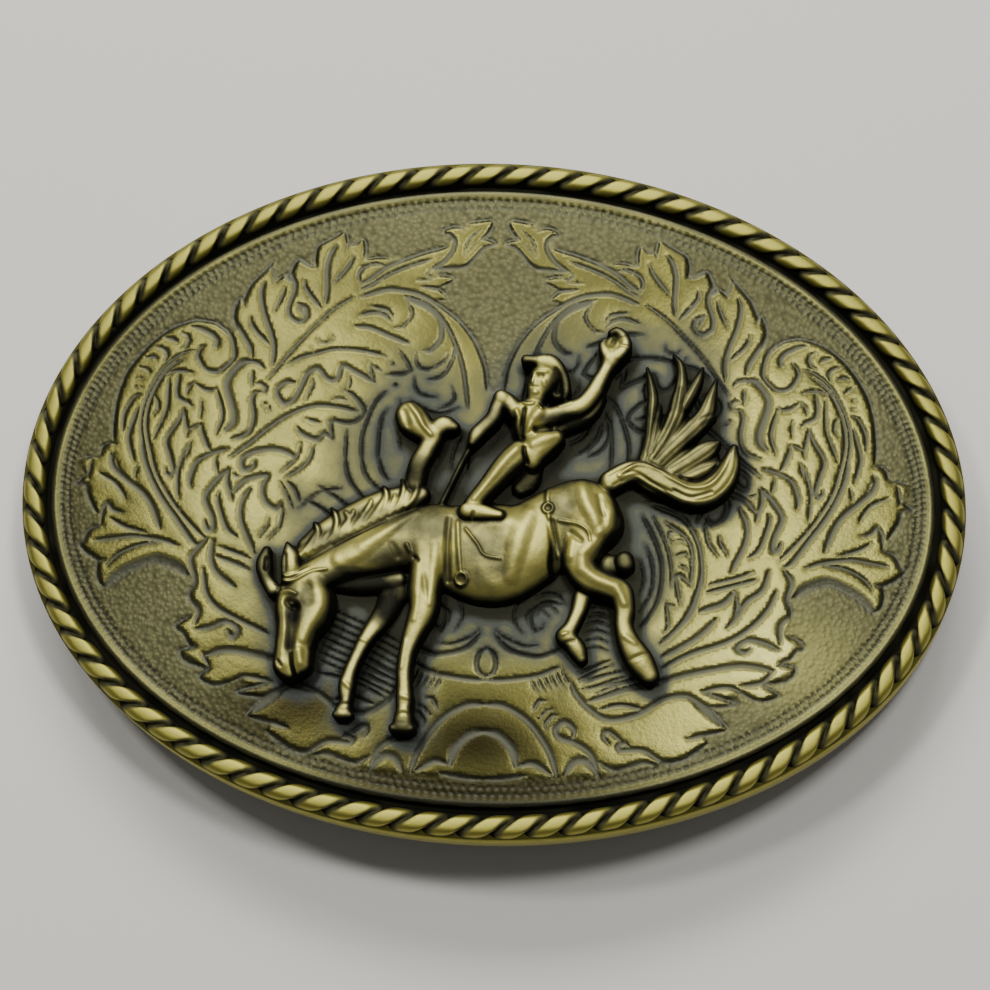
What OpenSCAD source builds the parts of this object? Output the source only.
// Oval western belt buckle with a cast rope rim, an engraved face plate and a cast bucking horse and rider.
// It lies face up: X is along the buckle, Y is up the buckle as worn, Z is out of its face, and z = 0 is the
// surface it rests on, which its belt loop and hook touch. Units are millimetres.

/* [Buckle] */
// Length of the oval over the rope rim
buckle_length = 95; // [92:1:98]
// Height of the oval over the rope rim
buckle_height = 69; // [67:1:71]
// How far the two ends fall behind the middle
end_drop = 3.5; // [2.5:0.5:4]
// Height of the plain side wall under the rope
wall_height = 4.5; // [3.5:0.5:5]

/* [Rope rim] */
// Number of strands seen round the rim
strand_count = 76; // [70:1:80]
// Width of the rope
rope_width = 2.3; // [2:0.1:2.5]
// Width of the dark groove between the rope and the face plate
groove_width = 0.75; // [0.6:0.05:1]

/* [Plates] */
// Thickness of the cast back
back_thickness = 1.2; // [1:0.1:1.6]
// Thickness of the engraved face plate
plate_thickness = 1; // [0.8:0.1:1.2]
// Gap left between pieces
fit_gap = 0.06; // [0.04:0.01:0.1]

/* [Belt fittings] */
// Width of belt that the loop takes
belt_width = 38; // [34:1:39]
// Clear space between the loop's bar and the back
belt_space = 5.2; // [4.8:0.1:6]
// Thickness of the loop's bar
bar_width = 3.2; // [3:0.1:3.6]
// Thickness of the hook's shank
hook_width = 3.6; // [3.2:0.1:4]

/* [Hidden] */

half_length = buckle_length / 2;
half_height = buckle_height / 2;
bend_radius = (half_length * half_length + end_drop * end_drop) / (2 * end_drop);
very_long = 4 * buckle_height;

// Where the belt fittings stand on the back, and their feet and rivets
loop_x = -25;
hook_x = 31;
belt_side_room = 0.6;
leg_spread = (belt_width + bar_width) / 2 + belt_side_room;
foot_width = 6.4;
foot_thickness = 1.2;
rivet_width = 2.4;
rivet_end_room = 0.2;
pad_rise = 0.2;

// Levels on the middle line of the buckle, x = 0, above the resting surface
pad_level = bar_width + belt_space + foot_thickness;
back_low = pad_level + end_fall(loop_x) + pad_rise;
back_top = back_low + back_thickness;
plate_low = back_top + fit_gap;
plate_top = plate_low + plate_thickness;
rope_axis_level = back_top + 0.15 * rope_width;
bend_axis_level = back_top - bend_radius;

// Distances in from the outer edge
rope_edge_room = 0.1;
rope_inset = rope_width / 2 + rope_edge_room;
wall_width = rope_width + 1.5 * rope_edge_room;
plate_inset = rope_width + groove_width + rope_edge_room / 2;
back_inset = 1;

// How far a bent surface has fallen at a place along the buckle
function end_fall(x) = bend_radius - sqrt(bend_radius * bend_radius - x * x);

// The rope's path is an oval, cut into steps of equal length for its strands
path_a = half_length - rope_inset;
path_b = half_height - rope_inset;
path_steps = 144;
function path_step(i) = norm([path_a * (cos(i * 360 / path_steps) - cos((i + 1) * 360 / path_steps)),
                              path_b * (sin(i * 360 / path_steps) - sin((i + 1) * 360 / path_steps))]);
path_lengths = [for (i = 0, run = 0; i <= path_steps; run = run + path_step(i), i = i + 1)
                [run, i * 360 / path_steps]];
path_length = path_lengths[path_steps][0];
strand_pitch = path_length / strand_count;
function path_angle(run) = lookup((run + path_length) % path_length, path_lengths);

// An upright oval cylinder whose sides are a given distance in from the outer edge
module oval_block(inset) {
    linear_extrude(3 * pad_level)
        scale([half_length - inset, half_height - inset])
            circle(r = 1, $fn = 120);
}

// A solid cylinder across the buckle whose top is the bent surface through a given level
module bent_block(level) {
    translate([0, 0, bend_axis_level])
        rotate([90, 0, 0])
            cylinder(r = level - bend_axis_level, h = very_long, center = true, $fn = 360);
}

// A sheet bent along the buckle between two levels, with an oval edge
module bent_sheet(low, top, inset) {
    intersection() {
        oval_block(inset);
        difference() {
            bent_block(top);
            bent_block(low);
        }
    }
}

// A point on the rope: run along its path, out from its axis, up from its axis
function rope_point(run, out, up) =
    let (angle = path_angle(run),
         x = path_a * cos(angle),
         y = path_b * sin(angle),
         away = [path_b * cos(angle), path_a * sin(angle)],
         unit = away / norm(away))
    [x + out * unit[0], y + out * unit[1], rope_axis_level - end_fall(x) + up];

// One strand where it crosses over the rope, from low inside to low outside
strand_width = 0.62 * rope_width;
// Columns: along the rope, out from its axis, up from its axis, width; all in strand widths.
strand_rows = [
    [0.85, -0.42, -0.10, 0.80],
    [0.00,  0.00,  0.28, 1.00],
    [-0.85, 0.42, -0.10, 0.80]
];
module strand(place) {
    hull()
        for (row = strand_rows)
            translate(rope_point(place + row[0] * strand_width, row[1] * strand_width, row[2] * strand_width))
                sphere(d = row[3] * strand_width, $fn = 6);
}

// A round pad on the back that gives a fitting's foot a flat seat
module pad(x, y) {
    translate([x, y, pad_level])
        cylinder(d = foot_width + 1, h = back_low + back_thickness / 2 - end_fall(x) - pad_level, $fn = 32);
}
module rivet_hole(x, y) {
    translate([x, y, 0])
        cylinder(d = rivet_width + 2 * fit_gap, h = 3 * pad_level, $fn = 24);
}

// One casting: the bent oval back, the plain side wall and the twisted rope that tops it
module cast_frame() {
    color("#8f8348")
        difference() {
            union() {
                bent_sheet(back_low, back_top, back_inset);
                difference() {
                    bent_sheet(back_top - wall_height, rope_axis_level, 0);
                    oval_block(wall_width);
                }
                for (i = [0 : strand_count - 1])
                    strand(i * strand_pitch);
                pad(loop_x, leg_spread);
                pad(loop_x, -leg_spread);
                pad(hook_x, 0);
            }
            rivet_hole(loop_x, leg_spread);
            rivet_hole(loop_x, -leg_spread);
            rivet_hole(hook_x, 0);
        }
}

// The face plate, bent to the frame and laid inside the rope, with holes for the figure's two pegs
peg_width = 1.8;
peg_places = [[-2, -6], [10, -3]];
module engraved_plate() {
    color("#a2955a")
        difference() {
            bent_sheet(plate_low, plate_top, plate_inset);
            for (place = peg_places)
                translate([place[0], place[1], 0])
                    cylinder(d = peg_width + 2 * fit_gap, h = 3 * pad_level, $fn = 32);
        }
}

// Forms of the cast figure. Each is a ridge that runs through its rows, standing on the face plate.
// Columns: x, y, width of the ridge, height of its crest over the plate.
horse_forms = [
    // barrel and belly
    [[-4.6, -5.4, 7.4, 2.7], [1.0, -6.4, 10.4, 3.5], [4.0, -5.6, 8.8, 3.3]],
    // croup and rump
    [[4.0, -5.4, 8.6, 3.2], [9.4, -1.6, 6.6, 3.4], [10.9, -2.9, 5.6, 3.5]],
    // near hind leg: thigh, gaskin, hock, cannon, pastern, hoof
    [[10.8, -2.8, 5.2, 3.5], [9.5, -6.9, 3.5, 3.5], [10.3, -8.5, 2.9, 3.4], [13.6, -9.9, 2.4, 3.3],
     [14.1, -13.2, 1.9, 3.1], [15.8, -16.5, 2.6, 2.9], [16.8, -17.9, 1.9, 2.6]],
    // far hind leg: hock behind the rump, then the cannon and hoof under the belly
    [[12.4, -7.0, 2.4, 1.6], [13.9, -6.8, 1.9, 2.4]],
    [[9.8, -10.6, 1.9, 1.8], [9.0, -13.4, 1.5, 2.1], [8.5, -14.5, 1.9, 2.3], [10.1, -16.4, 1.3, 2.0]],
    // shoulder and near foreleg: forearm, knee, cannon, pastern
    [[-4.8, -5.4, 7.0, 2.8], [-5.6, -9.4, 3.4, 3.2], [-5.6, -12.4, 2.8, 3.3], [-6.8, -16.2, 1.8, 3.1],
     [-7.1, -19.6, 1.5, 3.0], [-6.9, -22.6, 1.6, 2.9]],
    // far foreleg
    [[-8.7, -10.4, 3.0, 1.4], [-10.2, -13.9, 2.1, 1.7], [-11.9, -17.2, 1.5, 2.1], [-12.7, -21.8, 1.5, 2.2]],
    // fore hooves, each a wedge with a flat sole
    [[-6.9, -22.8, 1.6, 3.0], [-6.95, -23.7, 2.1, 2.8]],
    [[-7.9, -24.3, 0.9, 2.6], [-6.1, -24.3, 0.9, 2.6]],
    [[-12.8, -22.2, 1.4, 2.2], [-12.95, -22.7, 1.8, 2.1]],
    [[-13.6, -23.1, 0.8, 2.0], [-12.3, -23.1, 0.8, 2.0]],
    // throat and neck
    [[-14.9, -9.9, 1.4, 1.5], [-8.4, -9.5, 1.6, 1.6]],
    [[-4.9, -4.6, 6.4, 2.8], [-8.8, -5.6, 6.0, 3.0], [-12.2, -7.0, 4.8, 3.1], [-17.4, -9.8, 3.4, 2.9]],
    // head: poll, cheek, face and muzzle, then the lips
    [[-17.6, -10.8, 5.0, 3.0], [-17.4, -12.3, 6.2, 3.3], [-17.8, -14.3, 4.7, 3.3], [-18.4, -18.0, 3.7, 3.1]],
    [[-19.2, -18.5, 1.6, 2.9], [-18.3, -19.4, 0.9, 2.8]],
    [[-17.2, -17.3, 1.8, 2.9], [-17.1, -18.4, 1.7, 2.9]],
    // ears
    [[-19.0, -9.8, 1.5, 3.1], [-19.1, -8.4, 1.9, 3.4], [-19.7, -6.4, 0.5, 3.0]],
    [[-20.7, -10.8, 1.5, 2.1], [-21.7, -8.6, 1.6, 2.0], [-21.6, -6.9, 0.9, 1.8]]
];

mane_forms = [
    // the crest of the neck that carries the mane, and the mass of hair over it
    [[-18.2, -7.4, 1.8, 2.2], [-15.4, -5.9, 2.3, 2.3], [-11.6, -3.8, 2.4, 2.3], [-6.4, -0.7, 1.6, 2.0]],
    [[-17.7, -6.2, 1.8, 1.9], [-15.8, -4.8, 2.6, 2.0], [-13.0, -3.1, 3.0, 2.0], [-10.4, -1.7, 2.8, 2.0],
     [-8.2, -0.7, 1.8, 1.9]]
];

// Locks of the mane start in a row along the neck and sweep up to the right
mane_start = [-18.2, -7.6];
mane_end = [-7.9, -2.2];
mane_count = 7;
mane_locks = [for (k = [0 : mane_count - 1])
              let (root = mane_start + k / (mane_count - 1) * (mane_end - mane_start))
              [[root[0], root[1], 0.8, 2.5], [root[0] + 1.3, root[1] + 2.8, 0.5, 2.2]]];

tail_forms = [
    // the web between the locks
    [[16.0, 3.4, 2.2, 1.9], [18.6, 6.8, 3.6, 1.7]],
    [[17.4, 3.0, 2.4, 1.8], [21.4, 4.4, 2.6, 1.6]],
    // dock and the long under lock that ends in an upward sweep
    [[12.2, 1.2, 2.4, 2.9], [14.6, 2.3, 2.4, 2.9], [17.3, 1.5, 2.7, 2.8], [20.0, 0.4, 2.8, 2.8],
     [22.9, 1.6, 2.8, 2.8], [23.8, 3.2, 2.1, 2.7], [24.2, 5.2, 0.9, 2.4]],
    // locks flung up from the dock, left to right
    [[15.4, 3.6, 1.2, 2.5], [16.0, 8.6, 1.1, 2.4], [15.3, 13.0, 0.5, 1.9]],
    [[16.1, 3.7, 1.4, 2.6], [18.6, 9.0, 1.7, 2.5], [18.8, 11.8, 1.2, 2.4], [17.9, 14.5, 0.5, 1.9]],
    [[19.1, 9.2, 1.1, 2.3], [20.8, 13.3, 0.5, 1.9]],
    [[16.8, 3.4, 1.5, 2.6], [21.0, 8.3, 1.8, 2.5], [22.2, 12.2, 0.5, 1.9]],
    [[18.2, 2.5, 1.7, 2.5], [22.6, 5.7, 0.8, 2.2]],
    [[19.6, 1.9, 1.5, 2.4], [22.7, 3.6, 0.8, 2.2]]
];

rider_forms = [
    // trunk from the seat to the shoulders
    [[5.2, 5.2, 3.8, 2.9], [3.9, 7.5, 3.9, 3.2]],
    // neck and head
    [[4.2, 8.5, 1.8, 2.9], [4.6, 10.4, 2.6, 3.3], [5.1, 11.8, 2.8, 3.4]],
    // hat: the brim in front, the crown and the brim behind, then the low brim under it
    [[3.3, 13.1, 1.1, 3.1], [5.2, 12.9, 1.6, 3.5], [6.3, 12.5, 1.5, 3.5],
     [7.3, 10.9, 1.0, 3.1], [7.3, 9.4, 0.7, 2.6]],
    [[6.2, 12.0, 1.8, 2.8], [6.5, 9.9, 1.5, 2.3]],
    // raised arm, and the loose underside of its sleeve
    [[4.9, 7.4, 2.3, 3.3], [6.6, 7.6, 1.9, 3.3], [9.2, 8.8, 1.9, 3.3],
     [10.7, 11.3, 1.7, 3.2], [11.7, 13.7, 1.8, 2.9]],
    [[5.4, 6.4, 1.5, 2.1], [9.0, 7.5, 1.6, 2.2], [10.9, 9.9, 1.0, 2.2]],
    // palm, thumb and curled fingers
    [[11.7, 13.8, 2.2, 2.9], [12.0, 14.9, 2.7, 2.6]],
    [[11.4, 13.8, 1.2, 3.0], [10.8, 15.0, 0.8, 2.7]],
    [[12.3, 13.8, 1.3, 3.1], [13.1, 15.0, 1.2, 3.0], [12.7, 16.1, 1.1, 2.9], [11.7, 16.4, 0.9, 2.7]],
    // arm that grips the rein, and the rein
    [[2.6, 7.8, 1.8, 3.0], [1.0, 9.1, 1.6, 3.2], [0.3, 7.2, 1.6, 3.1], [-1.5, 4.9, 1.3, 2.8]],
    [[-1.7, 4.6, 0.8, 1.5], [-4.4, -1.4, 0.8, 1.5]],
    // near leg: seat and thigh in its chap, shin, boot
    [[6.7, 5.3, 1.6, 3.0], [4.8, 4.2, 3.0, 3.4], [4.4, 2.5, 1.3, 2.9]],
    [[3.0, 3.6, 2.5, 3.6], [2.2, 2.7, 2.6, 3.7], [0.0, -0.1, 1.9, 3.6], [-1.5, -2.2, 1.7, 3.7]],
    [[-1.7, -2.7, 1.7, 4.0], [1.4, -2.9, 0.9, 4.0]],
    // far chap, low behind the near one
    [[4.3, 2.2, 1.8, 1.6], [3.4, 0.6, 1.4, 1.4]],
    // far leg kicked up over the horse's neck: shin, boot sole, toe
    [[-7.2, 0.4, 2.1, 2.2], [-6.9, 2.2, 2.1, 2.5], [-5.6, 5.0, 2.0, 2.6]],
    [[-6.0, 5.2, 1.9, 2.6], [-8.0, 7.2, 3.2, 2.7]],
    [[-5.5, 5.6, 1.9, 2.6], [-4.6, 6.3, 1.9, 2.7], [-3.6, 6.1, 1.1, 2.4]]
];

// An upright form with a coned top, round which a ridge is drawn
module crest(row) {
    crest_x = row[0];
    width = row[2];
    rise = row[3];
    shoulder = min(0.35 * width, 0.6 * rise);
    foot_level = plate_low - end_fall(crest_x);
    wall = plate_top - plate_low + rise - shoulder;
    translate([crest_x, row[1], foot_level]) {
        cylinder(d = width, h = wall, $fn = 8);
        translate([0, 0, wall])
            cylinder(d1 = width, d2 = 0.45 * width, h = shoulder, $fn = 8);
    }
}
module ridge(rows) {
    for (i = [0 : len(rows) - 2])
        hull() {
            crest(rows[i]);
            crest(rows[i + 1]);
        }
}

// One casting: the horse, its tail and tack, and its rider, with two pegs behind
module horse_and_rider() {
    color("#b3a560")
        union() {
            difference() {
                union() {
                    for (form = concat(horse_forms, mane_forms, mane_locks, tail_forms, rider_forms))
                        ridge(form);
                }
                bent_block(plate_top + fit_gap);
            }
            for (place = peg_places)
                translate([place[0], place[1], plate_low - end_fall(place[0])])
                    cylinder(d = peg_width, h = plate_thickness + 1, $fn = 16);
        }
}

// A foot flange and the rivet above it that goes up into the cast back
module riveted_foot(x, y) {
    translate([x, y, pad_level - foot_thickness - fit_gap]) {
        cylinder(d = foot_width, h = foot_thickness);
        cylinder(d = rivet_width, h = foot_thickness + back_top - pad_level - end_fall(x) - rivet_end_room);
    }
}

// A quarter bend of the loop's round bar, between its bar and one leg
bend = 3;
module quarter_bend() {
    rotate_extrude(angle = 90)
        translate([bend, 0])
            circle(d = bar_width);
}

// The loop that the belt's fixed end is folded round: one bent bar on two riveted feet
module belt_loop() {
    bar_level = bar_width / 2;
    leg_top = pad_level - foot_thickness - fit_gap;
    color("#8a7f4a")
        union() {
            translate([loop_x, 0, bar_level])
                rotate([90, 0, 0])
                    cylinder(d = bar_width, h = 2 * (leg_spread - bend), center = true);
            for (side = [-1, 1]) {
                translate([loop_x, side * (leg_spread - bend), bar_level + bend])
                    rotate([0, 90, 0])
                        rotate([0, 0, side > 0 ? 0 : -90])
                            quarter_bend();
                translate([loop_x, side * leg_spread, bar_level + bend])
                    cylinder(d = bar_width, h = leg_top - bar_level - bend + 0.1);
                riveted_foot(loop_x, side * leg_spread);
            }
        }
}

// The hook that goes through a hole in the belt's free end: a round-nosed shank on a riveted foot
module belt_hook() {
    shank_top = pad_level - foot_thickness - fit_gap;
    color("#8a7f4a")
        union() {
            riveted_foot(hook_x, 0);
            translate([hook_x, 0, hook_width / 2])
                cylinder(d = hook_width, h = shank_top - hook_width / 2 + 0.1);
            translate([hook_x, 0, hook_width / 2])
                sphere(d = hook_width);
        }
}

cast_frame();
engraved_plate();
horse_and_rider();
belt_loop();
belt_hook();
